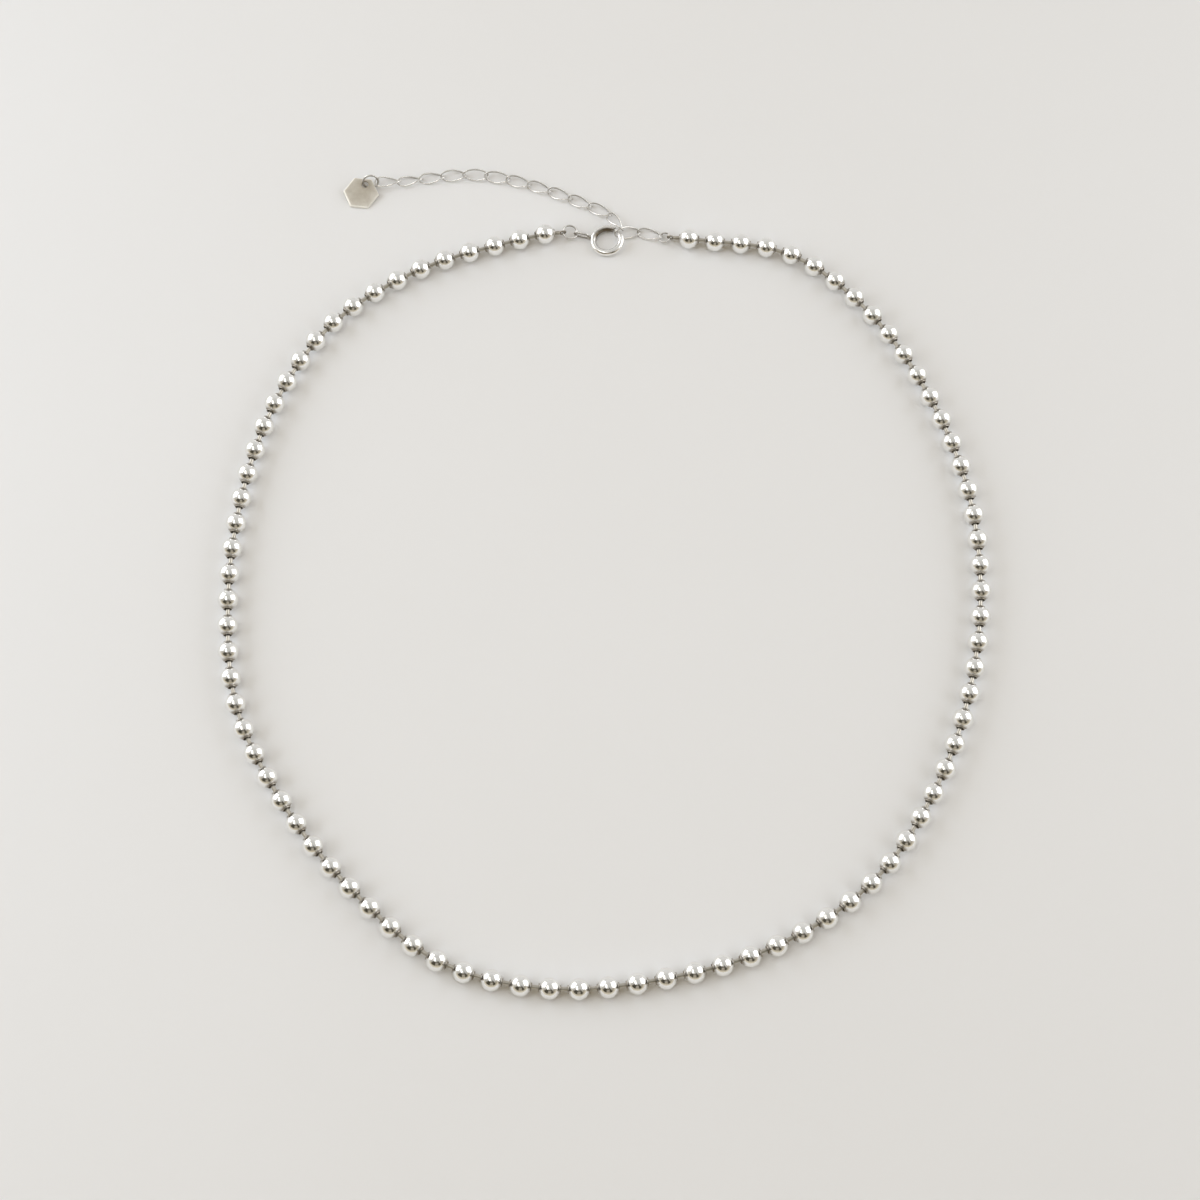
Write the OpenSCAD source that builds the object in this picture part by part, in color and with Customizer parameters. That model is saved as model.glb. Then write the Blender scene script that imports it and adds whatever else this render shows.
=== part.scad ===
// Beaded choker with a spring ring clasp, an extender chain and a blank six-sided tag.
// It lies closed on a table: Z is up, the table is z = 0 and the clasp is on the +Y side.
// Lengths are in millimetres and angles in degrees, anticlockwise as seen from above.

/* [Beads and bars] */
// Outside diameter of a bead
bead_d = 2.9; // [2.8:0.05:2.95]
// Wall of the hollow bead
bead_wall = 0.22; // [0.2:0.02:0.24]
// Diameter of the hole in each side of a bead
hole_d = 1.0; // [0.98:0.02:1.04]
// Outside diameter of the small collar round each hole
collar_d = 1.2; // [1.18:0.02:1.24]
// Length of a bead over its two collars
collar_span = 2.94; // [2.9:0.02:2.96]
// Diameter of the bar between two beads
bar_d = 0.56; // [0.5:0.02:0.58]
// Diameter of the flat head that holds a bar inside its bead
head_d = 1.3; // [1.25:0.05:1.35]
// Number of beads on the string
bead_count = 86; // [82:1:87]

/* [Rings and eyes] */
// Mean diameter of the jump ring at the clasp end
left_ring_d = 2.2; // [2.15:0.05:2.25]
// Wire of the jump ring at the clasp end
left_ring_wire = 0.26; // [0.2:0.02:0.28]
// Mean diameter of the jump ring at the extender end
right_ring_d = 1.6; // [1.55:0.05:1.65]
// Wire of the jump ring at the extender end
right_ring_wire = 0.24; // [0.2:0.02:0.26]
// Mean diameter of the eye on an end pin
eye_d = 0.84; // [0.8:0.02:0.86]
// Wire of the eye on an end pin
eye_wire = 0.26; // [0.2:0.02:0.28]

/* [Clasp] */
// Mean diameter of the clasp's tube
clasp_d = 4.2; // [4.15:0.05:4.25]
// Outside diameter of the clasp's tube
tube_d = 0.94; // [0.9:0.02:0.98]
// Bore of the clasp's tube
bore_d = 0.54; // [0.52:0.02:0.6]
// Diameter of the sliding gate wire
gate_d = 0.38; // [0.34:0.02:0.42]
// Width of the slot that the thumb knob's stem slides in
slot_w = 0.34; // [0.32:0.02:0.38]
// Diameter of the thumb knob's stem
stem_d = 0.24; // [0.2:0.02:0.26]
// Slope of the clasp, whose right side leans on the chain
clasp_tilt = 6; // [5.5:0.5:6.5]

/* [Extender chain] */
// Mean length of a link
link_l = 3.8; // [3.75:0.05:3.85]
// Mean width of a link before its twist
link_w = 1.64; // [1.6:0.02:1.7]
// Wire of a link
link_wire = 0.24; // [0.2:0.01:0.25]
// Angle that each end of a link is turned from its middle
link_twist = 45; // [40:1:50]

/* [Tag] */
// Size of the six-sided tag across its corners
tag_d = 5.4; // [5.3:0.1:5.5]
// Thickness of the tag
tag_t = 0.35; // [0.3:0.05:0.4]
// Diameter of the hole in the tag
tag_hole_d = 1.0; // [0.95:0.05:1.05]
// Mean diameter of the ring that carries the tag
tag_ring_d = 2.3; // [2.25:0.05:2.35]
// Wire of the ring that carries the tag
tag_ring_wire = 0.3; // [0.24:0.02:0.32]

/* [Hidden] */
LINKS = [for (i = [1 : 14]) str("link_", i < 10 ? "0" : "", i)];

silver = "#d5d3ce";
satin = "#bdb6aa";
fine = 48;
margin = 0.5;

// Middle of the whole outline seen from above, which becomes the origin
plan_middle = [0.67, 5.78];

// Middle line of the string of beads, from the extender end clockwise to the clasp end
string_points = [
    [11.5, 57.5], [26.5, 55.5], [38, 46.5], [46.5, 33.5], [52, 18.5], [53.5, 3],
    [51.5, -12.5], [46.5, -26.5], [38, -39.5], [25.5, -48.5], [11, -53.5], [-4.5, -55.5],
    [-19.5, -52.5], [-32, -43], [-42, -31.5], [-49.5, -18], [-52, -2.5], [-51.5, 13],
    [-48, 28], [-40.5, 41.5], [-28, 51], [-13.5, 56.5], [-10, 57.5]
];
// Line through the joints of the free stretch of the extender, links 1 to 11
extender_points = [
    [-35.5, 65.3], [-28.9, 66.8], [-22.4, 67.7], [-15.8, 67.2], [-9.6, 65.5], [-3.7, 63.2], [-0.4, 61.8]
];

bead_r = bead_d / 2;
// A bar's head starts this far from the bead's middle
head_start = 0.45;
head_t = 0.2;
left_eye = [-7.36, 58.15, 0.95];
right_eye = [8.75, 58.0, 0.82];
left_ring_at = [-6.25, 58.35, 0.79];
left_ring_slope = 8.3;
right_ring_at = [7.9, 58.05, 0.63];
right_ring_slope = -13.5;

// The clasp's tube lies on the table at its left and rises to the right
clasp_r = clasp_d / 2;
clasp_at = [-0.7, 57.2, tube_d / 2 + clasp_r * sin(clasp_tilt)];
// Angles round the clasp: the mouth, the gate's chamber behind it, the socket before it, the slot
mouth = [24, 60];
chamber_end = 153;
socket_start = 8;
slot = [72, 131];
gate = [17, 100];
knob_turn = 78;
stem_l = 0.7;
knob_d = 0.36;
// The tail's upright oval eye, soldered to the tube by a short collar
tail_turn = 167.5;
tail_from = 2.3;
tail_to = 3.05;
tail_d = 0.56;
tail_eye_d = 0.84;
tail_eye_l = 1.26;
tail_wire = 0.34;
tail_z = 0.64;

link_sections = 16;
wire_sides = 6;
// How blunt a link's ends are: 1 is an ellipse, and less is fuller
link_bluntness = 0.75;
// Roll of each free link about its length; the fifth lies on its side
link_rolls = [-30, -15, 0, 15, 35, 20, 5, 0, 0, 0, 0];
// Middle and turn of the links that something else holds up: the first hangs in the tag's ring,
// and the last three pass round the clasp's gate and up to the jump ring
first_link = [[-34, 65.9, 0.95], [-12, 5, 7]];
held_links = [
    [[0.5, 60.3, 0.9], [-24, -10, -55]],
    [[2.3, 58.7, 0.6], [24, 7, 12]],
    [[5.7, 58.6, 0.45], [0, 0, -10]]
];

tag_r = tag_d / 2;
tag_turn = -4;
// The tag's near edge rests on the table and its far edge on the ring
tag_slope = 8;
tag_at = [-37.92, 63.99, tag_r * cos(30) * sin(tag_slope) + tag_t / 2 * cos(tag_slope)];
tag_hole_at = [0.45, 1.4];
tag_ring_slope = 72;
tag_ring_turn = 8;
tag_ring_at = [-36.55, 65.65, (tag_ring_d * sin(tag_ring_slope) + tag_ring_wire) / 2];

// Curve through a list of points: cubic pieces whose slope at a point is half the step across it
spline_steps = 16;
function with_ends(p) = concat([2 * p[0] - p[1]], p, [2 * p[len(p) - 1] - p[len(p) - 2]]);
function cubic(a, b, c, d, t) =
    0.5 * (2 * b + (c - a) * t + (2 * a - 5 * b + 4 * c - d) * t ^ 2 + (3 * b - a - 3 * c + d) * t ^ 3);
function spline(points) = let (e = with_ends(points)) concat(
    [
        for (i = [0 : len(points) - 2], s = [0 : spline_steps - 1])
            cubic(e[i], e[i + 1], e[i + 2], e[i + 3], s / spline_steps)
    ],
    [points[len(points) - 1]]
);
// Length run along a curve at each of its points
function step_after(curve, i) = i + 1 < len(curve) ? norm(curve[i + 1] - curve[i]) : 0;
function run_lengths(curve) =
    [for (i = 0, run = 0; i < len(curve); run = run + step_after(curve, i), i = i + 1) run];
// Points at equal steps along a curve, both ends included
function even_points(curve, count) = let (
    run = run_lengths(curve),
    xs = [for (i = [0 : len(curve) - 1]) [run[i], curve[i].x]],
    ys = [for (i = [0 : len(curve) - 1]) [run[i], curve[i].y]],
    step = run[len(run) - 1] / (count - 1)
) [for (k = [0 : count - 1]) [lookup(k * step, xs), lookup(k * step, ys)]];

string = even_points(spline(string_points), bead_count);
function bead_at(k) = [string[k].x, string[k].y, bead_r];
// The right eye, every bead in turn and the left eye
stations = concat([right_eye], [for (k = [0 : bead_count - 1]) bead_at(k)], [left_eye]);

joints = even_points(spline(extender_points), len(link_rolls) + 1);

// Point on a link's middle line: an oval along X, twisted one way at one end and back at the other
function link_point(t) = let (
    half = link_w / 2 * sign(sin(t)) * abs(sin(t)) ^ link_bluntness,
    turn = -link_twist * cos(t)
) [link_l / 2 * cos(t), half * cos(turn), half * sin(turn)];
function unit(v) = v / norm(v);
function link_section(t) = let (
    nudge = 2,
    here = link_point(t),
    along = unit(link_point(t + nudge) - link_point(t - nudge)),
    out = unit(here - (here * along) * along),
    up = cross(along, out)
) [for (j = [0 : wire_sides - 1]) let (a = j * 360 / wire_sides)
    here + link_wire / 2 * (cos(a) * out + sin(a) * up)];
// Number of a point on a link's skin, counted round the oval and then round the wire
function skin(i, j) = (i % link_sections) * wire_sides + j % wire_sides;
// Height of a link's middle when it lies on the table with a roll
function rest_z(roll) = link_wire / 2 - min([
    for (i = [0 : 143]) let (p = link_point(i * 2.5)) p.y * sin(roll) + p.z * cos(roll)
]);

// Puts its children at a point with their Z axis turned towards a second point
module aim(from, to) {
    v = to - from;
    translate(from)
        rotate([0, acos(v.z / norm(v)), atan2(v.y, v.x)])
            children();
}

module ring(mean_d, wire) {
    rotate_extrude($fn = fine)
        translate([mean_d / 2, 0])
            circle(d = wire, $fn = fine);
}

// One hollow bead with a collar on each side, turned about the line halfway between its two bars
module bead(k) {
    middle = bead_at(k);
    aim(middle, middle + unit(stations[k + 2] - middle) + unit(middle - stations[k]))
        rotate_extrude($fn = fine)
            difference() {
                union() {
                    circle(r = bead_r, $fn = fine);
                    square([collar_d, collar_span], center = true);
                }
                circle(r = bead_r - bead_wall, $fn = fine);
                translate([hole_d / 2 - bead_d, -bead_d])
                    square([bead_d, 2 * bead_d]);
            }
}

module beads() {
    color(silver)
        for (k = [0 : bead_count - 1])
            bead(k);
}

// Turned profile of a bar: a head inside each bead and a plain shank
module bar_profile(span) {
    rotate_extrude($fn = fine)
        polygon([
            [0, head_start],
            [head_d / 2, head_start],
            [head_d / 2, head_start + head_t],
            [bar_d / 2, head_start + head_t],
            [bar_d / 2, span - head_start - head_t],
            [head_d / 2, span - head_start - head_t],
            [head_d / 2, span - head_start],
            [0, span - head_start]
        ]);
}

module bars() {
    color(silver)
        for (k = [0 : bead_count - 2])
            aim(bead_at(k), bead_at(k + 1))
                bar_profile(norm(bead_at(k + 1) - bead_at(k)));
}

// Pin that leaves an end bead and ends in an upright eye
module end_pin(bead, eye) {
    span = norm(eye - bead);
    color(silver)
        aim(bead, eye) {
            rotate_extrude($fn = fine)
                polygon([
                    [0, head_start],
                    [head_d / 2, head_start],
                    [head_d / 2, head_start + head_t],
                    [bar_d / 2, head_start + head_t],
                    [bar_d / 2, span - eye_d / 2 - eye_wire],
                    [eye_wire / 2, span - eye_d / 2],
                    [0, span - eye_d / 2]
                ]);
            translate([0, 0, span])
                rotate([90, 0, 0])
                    ring(eye_d, eye_wire);
        }
}

module jump_ring_left() {
    color(silver)
        translate(left_ring_at)
            rotate([0, left_ring_slope, 0])
                ring(left_ring_d, left_ring_wire);
}

module jump_ring_right() {
    color(silver)
        translate(right_ring_at)
            rotate([0, right_ring_slope, 0])
                ring(right_ring_d, right_ring_wire);
}

module on_clasp() {
    translate(clasp_at)
        rotate([0, -clasp_tilt, 0])
            children();
}

// Arc of round wire or round hole about the clasp's middle
module clasp_arc(start, end, d) {
    rotate([0, 0, start])
        rotate_extrude(angle = end - start, $fn = 2 * fine)
            translate([clasp_r, 0])
                circle(d = d, $fn = fine);
}

module tail_eye() {
    for (side = [0, 180])
        rotate([0, side, 0])
            translate([tail_eye_l / 2, 0, 0])
                rotate([0, 0, -90])
                    rotate_extrude(angle = 180, $fn = fine)
                        translate([tail_eye_d / 2, 0])
                            circle(d = tail_wire, $fn = fine);
    for (side = [-1, 1])
        translate([-tail_eye_l / 2, side * tail_eye_d / 2, 0])
            rotate([0, 90, 0])
                cylinder(h = tail_eye_l, d = tail_wire, $fn = fine);
}

module clasp_ring() {
    along = [cos(tail_turn), sin(tail_turn)];
    low = clasp_at.z + tail_from * cos(tail_turn) * sin(clasp_tilt);
    collar_start = [clasp_at.x + tail_from * along.x, clasp_at.y + tail_from * along.y, low];
    collar_end = [clasp_at.x + tail_to * along.x, clasp_at.y + tail_to * along.y, tail_z];
    eye_middle = tail_to + tail_eye_l / 2 + tail_eye_d / 2 - tail_wire / 2;
    color(silver) {
        on_clasp()
            difference() {
                clasp_arc(mouth[1], mouth[0] + 360, tube_d);
                clasp_arc(mouth[1] - 1, chamber_end, bore_d);
                clasp_arc(socket_start, mouth[0] + 1, bore_d);
                rotate([0, 0, slot[0]])
                    rotate_extrude(angle = slot[1] - slot[0], $fn = 2 * fine)
                        translate([clasp_r, -slot_w / 2])
                            square([tube_d, slot_w]);
            }
        aim(collar_start, collar_end)
            cylinder(h = norm(collar_end - collar_start), d = tail_d, $fn = fine);
        translate([clasp_at.x + eye_middle * along.x, clasp_at.y + eye_middle * along.y, tail_z])
            rotate([90, 0, tail_turn])
                tail_eye();
    }
}

module clasp_gate() {
    color(silver)
        on_clasp() {
            clasp_arc(gate[0], gate[1], gate_d);
            rotate([0, 0, gate[0]])
                translate([clasp_r, 0, 0])
                    sphere(d = gate_d, $fn = fine);
            rotate([0, 0, knob_turn])
                translate([clasp_r, 0, 0]) {
                    rotate([0, 90, 0])
                        cylinder(h = stem_l, d = stem_d, $fn = fine);
                    translate([stem_l, 0, 0])
                        sphere(d = knob_d, $fn = fine);
                }
        }
}

// Twisted oval link along X, its wire swept as a closed six-sided tube
module link_shape() {
    points = [for (i = [0 : link_sections - 1]) each link_section(i * 360 / link_sections)];
    faces = [
        for (i = [0 : link_sections - 1], j = [0 : wire_sides - 1])
            each [
                [skin(i, j), skin(i + 1, j + 1), skin(i, j + 1)],
                [skin(i, j), skin(i + 1, j), skin(i + 1, j + 1)]
            ]
    ];
    polyhedron(points, faces);
}

module free_link(k) {
    step = joints[k] - joints[k - 1];
    middle = (joints[k] + joints[k - 1]) / 2;
    roll = link_rolls[k - 1];
    translate([middle.x, middle.y, rest_z(roll)])
        rotate([roll, 0, atan2(step.y, step.x)])
            link_shape();
}

module held_link(place) {
    translate(place[0])
        rotate(place[1])
            link_shape();
}

module link(k) {
    color(silver)
        if (k == 1)
            held_link(first_link);
        else if (k <= len(link_rolls))
            free_link(k);
        else
            held_link(held_links[k - len(link_rolls) - 1]);
}

module tag_ring() {
    color(silver)
        translate(tag_ring_at)
            rotate([tag_ring_slope, 0, tag_ring_turn])
                ring(tag_ring_d, tag_ring_wire);
}

module tag() {
    color(satin)
        translate(tag_at)
            rotate([0, 0, tag_turn])
                rotate([tag_slope, 0, 0])
                    difference() {
                        cylinder(h = tag_t, r = tag_r, $fn = 6, center = true);
                        translate([tag_hole_at.x, tag_hole_at.y, 0])
                            cylinder(h = tag_t + margin, d = tag_hole_d, $fn = fine, center = true);
                    }
}

module centred() {
    translate([-plan_middle.x, -plan_middle.y, 0])
        children();
}

centred() beads();
centred() bars();
centred() end_pin(bead_at(bead_count - 1), left_eye);  // end_pin_left
centred() end_pin(bead_at(0), right_eye);  // end_pin_right
centred() jump_ring_left();
centred() jump_ring_right();
centred() clasp_ring();
centred() clasp_gate();
centred() link(1);  // link_01
centred() link(2);  // link_02
centred() link(3);  // link_03
centred() link(4);  // link_04
centred() link(5);  // link_05
centred() link(6);  // link_06
centred() link(7);  // link_07
centred() link(8);  // link_08
centred() link(9);  // link_09
centred() link(10);  // link_10
centred() link(11);  // link_11
centred() link(12);  // link_12
centred() link(13);  // link_13
centred() link(14);  // link_14
centred() tag_ring();
centred() tag();
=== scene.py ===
"""Dressed scene of a beaded choker: hollow silver beads on short bars, a spring ring clasp,
an extender of twisted links and a blank six-sided tag, lying closed on a pale floor."""

import logging
from dataclasses import dataclass, field
from enum import Enum
from math import acos, asin, atan2, cos, degrees, pi, radians, sin

import bmesh
import bpy
import numpy as np
from mathutils import Matrix


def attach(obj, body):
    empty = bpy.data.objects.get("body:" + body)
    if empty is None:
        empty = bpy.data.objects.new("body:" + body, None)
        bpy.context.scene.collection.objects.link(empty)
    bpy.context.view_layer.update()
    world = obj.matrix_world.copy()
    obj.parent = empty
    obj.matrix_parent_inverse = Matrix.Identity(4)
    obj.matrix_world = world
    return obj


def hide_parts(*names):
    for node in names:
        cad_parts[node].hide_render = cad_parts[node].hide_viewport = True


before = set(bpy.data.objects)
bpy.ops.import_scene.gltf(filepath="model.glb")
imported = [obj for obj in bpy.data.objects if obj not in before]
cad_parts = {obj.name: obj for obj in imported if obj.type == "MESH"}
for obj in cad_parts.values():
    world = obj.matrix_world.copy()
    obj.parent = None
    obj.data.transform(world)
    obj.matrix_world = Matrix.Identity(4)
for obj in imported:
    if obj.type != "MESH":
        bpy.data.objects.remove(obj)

LOG = logging.getLogger("choker")
Array = np.ndarray
Triple = tuple[float, float, float]

MM = 0.001
# Middle of the whole outline seen from above, which is the part's origin
PLAN_MIDDLE = np.array([0.67, 5.78, 0.0])
# What the camera and the lights face, in metres
AIM = -PLAN_MIDDLE * MM
# Points closer than this are welded, in metres
WELD = 2e-7


class Body(Enum):
    """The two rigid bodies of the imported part."""

    CHOKER = "choker"
    GATE = "gate"


class Slot(Enum):
    """The record's material slots."""

    POLISHED = "polished_silver"
    SATIN = "satin_silver"


class Rays(Enum):
    """What a light reaches."""

    ALL = "all"
    MIRRORED = "mirrored"
    MATT = "matt"


def in_scene(name: str, data: bpy.types.ID) -> bpy.types.Object:
    """New object that shows the data, linked to the scene."""
    made = bpy.data.objects.new(name, data)
    bpy.context.scene.collection.objects.link(made)
    return made


# ---------------------------------------------------------------- curves and grids


def once_round(count: int) -> Array:
    """Angles at equal steps, once round, in radians."""
    return np.arange(count) * 2 * pi / count


def unit(v: Array) -> Array:
    """Vectors along the last axis, each divided by its length."""
    return v / np.linalg.norm(v, axis=-1, keepdims=True)


def spline(points: Array, steps: int = 16) -> Array:
    """Curve of cubic pieces through points, whose slope at a point is half the step across it.

    Between points b and c, with a before and d after, the curve at t from 0 to 1 is half of
    2b + (c - a)t + (2a - 5b + 4c - d)t^2 + (3b - a - 3c + d)t^3.

    Args:
        points: the points, one a row.
        steps: points made in each piece.

    Returns:
        The curve's points, the last point included.
    """
    ends = np.vstack([2 * points[0] - points[1], points, 2 * points[-1] - points[-2]])
    a, b, c, d = (ends[i : len(points) - 1 + i, None, :] for i in range(4))
    t = (np.arange(steps) / steps)[None, :, None]
    curve = 0.5 * (2 * b + (c - a) * t + (2 * a - 5 * b + 4 * c - d) * t**2 + (3 * b - a - 3 * c + d) * t**3)
    return np.vstack([curve.reshape(-1, points.shape[1]), points[-1:]])


def even_points(curve: Array, count: int) -> Array:
    """Points at equal steps of length along a curve, both ends included.

    Args:
        curve: the curve's points, one a row.
        count: how many points come back.

    Returns:
        The points, one a row.
    """
    run = np.concatenate([[0.0], np.cumsum(np.linalg.norm(np.diff(curve, axis=0), axis=1))])
    at = np.linspace(0.0, run[-1], count)
    return np.stack([np.interp(at, run, column) for column in curve.T], axis=-1)


def turn_matrix(turn: Triple) -> Array:
    """Matrix that turns about X, then Y, then Z, by angles in degrees."""
    x, y, z = (radians(angle) for angle in turn)
    about_x = np.array([[1, 0, 0], [0, cos(x), -sin(x)], [0, sin(x), cos(x)]])
    about_y = np.array([[cos(y), 0, sin(y)], [0, 1, 0], [-sin(y), 0, cos(y)]])
    about_z = np.array([[cos(z), -sin(z), 0], [sin(z), cos(z), 0], [0, 0, 1]])
    return about_z @ about_y @ about_x


def placed(points: Array, turn: Triple, at: Array | Triple) -> Array:
    """Points turned about X, Y and Z in that order, and then carried to a place."""
    return points @ turn_matrix(turn).T + np.asarray(at, float)


def turned(profile: Array, sides: int, origins: Array, directions: Array) -> Array:
    """Turned shapes, one for each origin.

    A point is origin + r(j) (cos a(i) across + sin a(i) level) + h(j) direction, where r and h
    are the profile's distance from the axis and height, a goes once round, and level is the
    horizontal line square to the direction.

    Args:
        profile: rows of distance from the axis and height along it.
        sides: points round the axis.
        origins: where height 0 is, one a row.
        directions: which way each axis runs, one a row.

    Returns:
        A grid of points, copies x sides x profile x 3.
    """
    angle = once_round(sides)
    local = np.stack(
        [
            np.outer(np.cos(angle), profile[:, 0]),
            np.outer(np.sin(angle), profile[:, 0]),
            np.broadcast_to(profile[:, 1], (sides, len(profile))),
        ],
        axis=-1,
    )
    along = unit(directions)
    level = unit(np.stack([-along[:, 1], along[:, 0], np.zeros(len(along))], axis=-1))
    axes = np.stack([np.cross(level, along), level, along], axis=1)
    return origins[:, None, None, :] + np.einsum("spk,nkc->nspc", local, axes)


def swept(path: Array, outward: Array, radius: Array | float, sides: int, closed: bool) -> Array:
    """Round wire carried along a path.

    A point is path(i) + r(i) (cos b(j) out + sin b(j) up), where out is the part of the outward
    vector that is square to the path, up is square to both, and b goes once round the wire.

    Args:
        path: the wire's middle line, one point a row.
        outward: a vector at each point that the section starts from, never along the path.
        radius: the wire's radius, one number or one for each point.
        sides: points round the wire.
        closed: whether the path's end meets its start.

    Returns:
        A grid of points, path x sides x 3.
    """
    step = np.roll(path, -1, axis=0) - np.roll(path, 1, axis=0) if closed else np.gradient(path, axis=0)
    along = unit(step)
    out = unit(outward - np.sum(outward * along, axis=1, keepdims=True) * along)
    up = np.cross(along, out)
    b = once_round(sides)
    r = np.broadcast_to(radius, len(path))[:, None, None]
    ring = np.cos(b)[None, :, None] * out[:, None, :] + np.sin(b)[None, :, None] * up[:, None, :]
    return path[:, None, :] + r * ring


def eased(size: float, steps: int) -> tuple[Array, Array]:
    """Rounded edge: size (1 - cos q) and size (1 - sin q), with q over a quarter turn."""
    q = np.linspace(0.0, pi / 2, steps)
    return size * (1 - np.cos(q)), size * (1 - np.sin(q))


def wire_with_ends(start: float, stop: float, radius: float, edge: float, count: int) -> tuple[Array, Array]:
    """Places and radii along a straight run of wire with rounded ends.

    At a distance d = edge (1 - cos q) from an end the radius is radius - edge + edge sin q, with
    q from 0 to a quarter turn, and the end itself is closed by a flat disc.

    Args:
        start: where the wire starts.
        stop: where it stops.
        radius: the wire's radius.
        edge: how far the ends are rounded; the radius itself makes them half balls.
        count: points between the two ends.

    Returns:
        The places along the wire and the radius at each.
    """
    inward, narrower = eased(edge, 6)
    distance = np.concatenate([[0.0], inward])
    size = np.concatenate([[0.0], radius - narrower])
    middle = np.linspace(start + edge, stop - edge, count + 2)[1:-1]
    return (
        np.concatenate([start + distance, middle, stop - distance[::-1]]),
        np.concatenate([size, np.full(count, radius), size[::-1]]),
    )


@dataclass
class Skin:
    """Grids of points in millimetres, joined into one closed mesh."""

    points: list[Array] = field(default_factory=list)
    tarnish_and_shade: list[Array] = field(default_factory=list)
    quads: list[Array] = field(default_factory=list)
    count: int = 0

    def add(self, grid: Array, around: bool, along: bool, tarnish_and_shade: Array | float = 0.0, inside_out: bool = False) -> None:
        """Add one grid, or a row of equal grids.

        The corners of a face are (i, j), (i + 1, j), (i + 1, j + 1) and (i, j + 1).

        Args:
            grid: points, (copies x) rows x columns x 3.
            around: whether the last row joins the first.
            along: whether the last column joins the first.
            tarnish_and_shade: how far the points are darkened, 0 to 1, as tarnished silver and painted shade.
            inside_out: whether the faces are turned the other way.
        """
        grid = grid.reshape((-1,) + grid.shape[-3:])
        copies, rows, columns, _ = grid.shape
        i = np.arange(rows if around else rows - 1)[:, None]
        j = np.arange(columns if along else columns - 1)[None, :]
        below, right = (i + 1) % rows, (j + 1) % columns
        corners = [i * columns + j, below * columns + j, below * columns + right, i * columns + right]
        cells = np.stack([np.broadcast_to(c, (i.size, j.size)) for c in corners], axis=-1).reshape(-1, 4)
        if inside_out:
            cells = cells[:, ::-1]
        starts = self.count + np.arange(copies)[:, None, None] * rows * columns
        self.points.append(grid.reshape(-1, 3))
        self.tarnish_and_shade.append(np.broadcast_to(tarnish_and_shade, grid.shape[:3]).reshape(-1))
        self.quads.append((cells[None] + starts).reshape(-1, 4))
        self.count += grid[..., 0].size

    def piece(
        self, node: str, finish: bpy.types.Material, slot: Slot = Slot.POLISHED, body: Body = Body.CHOKER
    ) -> bpy.types.Object:
        """Make the object, weld its seams and poles, and hang it on the frame.

        Args:
            node: the CAD node that it stands for; the piece's name adds the slot's first word.
            finish: its material.
            slot: the record's slot that the finish stands for.
            body: the body that it rides on.

        Returns:
            The finished object, at the origin.
        """
        name = node + "_" + slot.value.split("_")[0]
        mesh = bpy.data.meshes.new(name)
        points = (np.concatenate(self.points) - PLAN_MIDDLE) * MM
        mesh.from_pydata(points, [], np.concatenate(self.quads))
        # The darkening attribute holds both tarnished silver and painted shade.
        mesh.attributes.new("tarnish_and_shade", "FLOAT", "POINT").data.foreach_set(
            "value", np.concatenate(self.tarnish_and_shade).astype(np.float32)
        )
        welded = bmesh.new()
        welded.from_mesh(mesh)
        bmesh.ops.remove_doubles(welded, verts=welded.verts, dist=WELD)
        bmesh.ops.dissolve_degenerate(welded, edges=welded.edges, dist=WELD / 10)
        welded.to_mesh(mesh)
        welded.free()
        mesh.shade_smooth()
        mesh.materials.append(finish)
        piece = in_scene(name, mesh)
        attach(piece, body.value)
        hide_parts(node)
        LOG.info("%s: %d faces", name, len(mesh.polygons))
        return piece


# ---------------------------------------------------------------- shader maths and finishes


@dataclass
class Term:
    """A shader socket that takes part in sums: each operator adds one Math node."""

    bench: "Bench"
    socket: bpy.types.NodeSocket

    def _math(self, operation: str, first: "Term | float", second: "Term | float") -> "Term":
        """One Math node on two values."""
        return self.bench.node("Math", {0: first, 1: second}, operation=operation)

    def __add__(self, other: "Term | float") -> "Term":
        """Sum."""
        return self._math("ADD", self, other)

    def __radd__(self, other: float) -> "Term":
        """Sum with a number first."""
        return self._math("ADD", other, self)

    def __sub__(self, other: "Term | float") -> "Term":
        """Difference."""
        return self._math("SUBTRACT", self, other)

    def __rsub__(self, other: float) -> "Term":
        """Difference from a number."""
        return self._math("SUBTRACT", other, self)

    def __mul__(self, other: "Term | float") -> "Term":
        """Product."""
        return self._math("MULTIPLY", self, other)

    def limited(self, low: float, high: float) -> "Term":
        """The value held between two numbers."""
        return self._math("MINIMUM", self._math("MAXIMUM", self, low), high)

    def beside(self, key: int) -> "Term":
        """Another output of the same node."""
        return Term(self.bench, self.socket.node.outputs[key])


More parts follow.
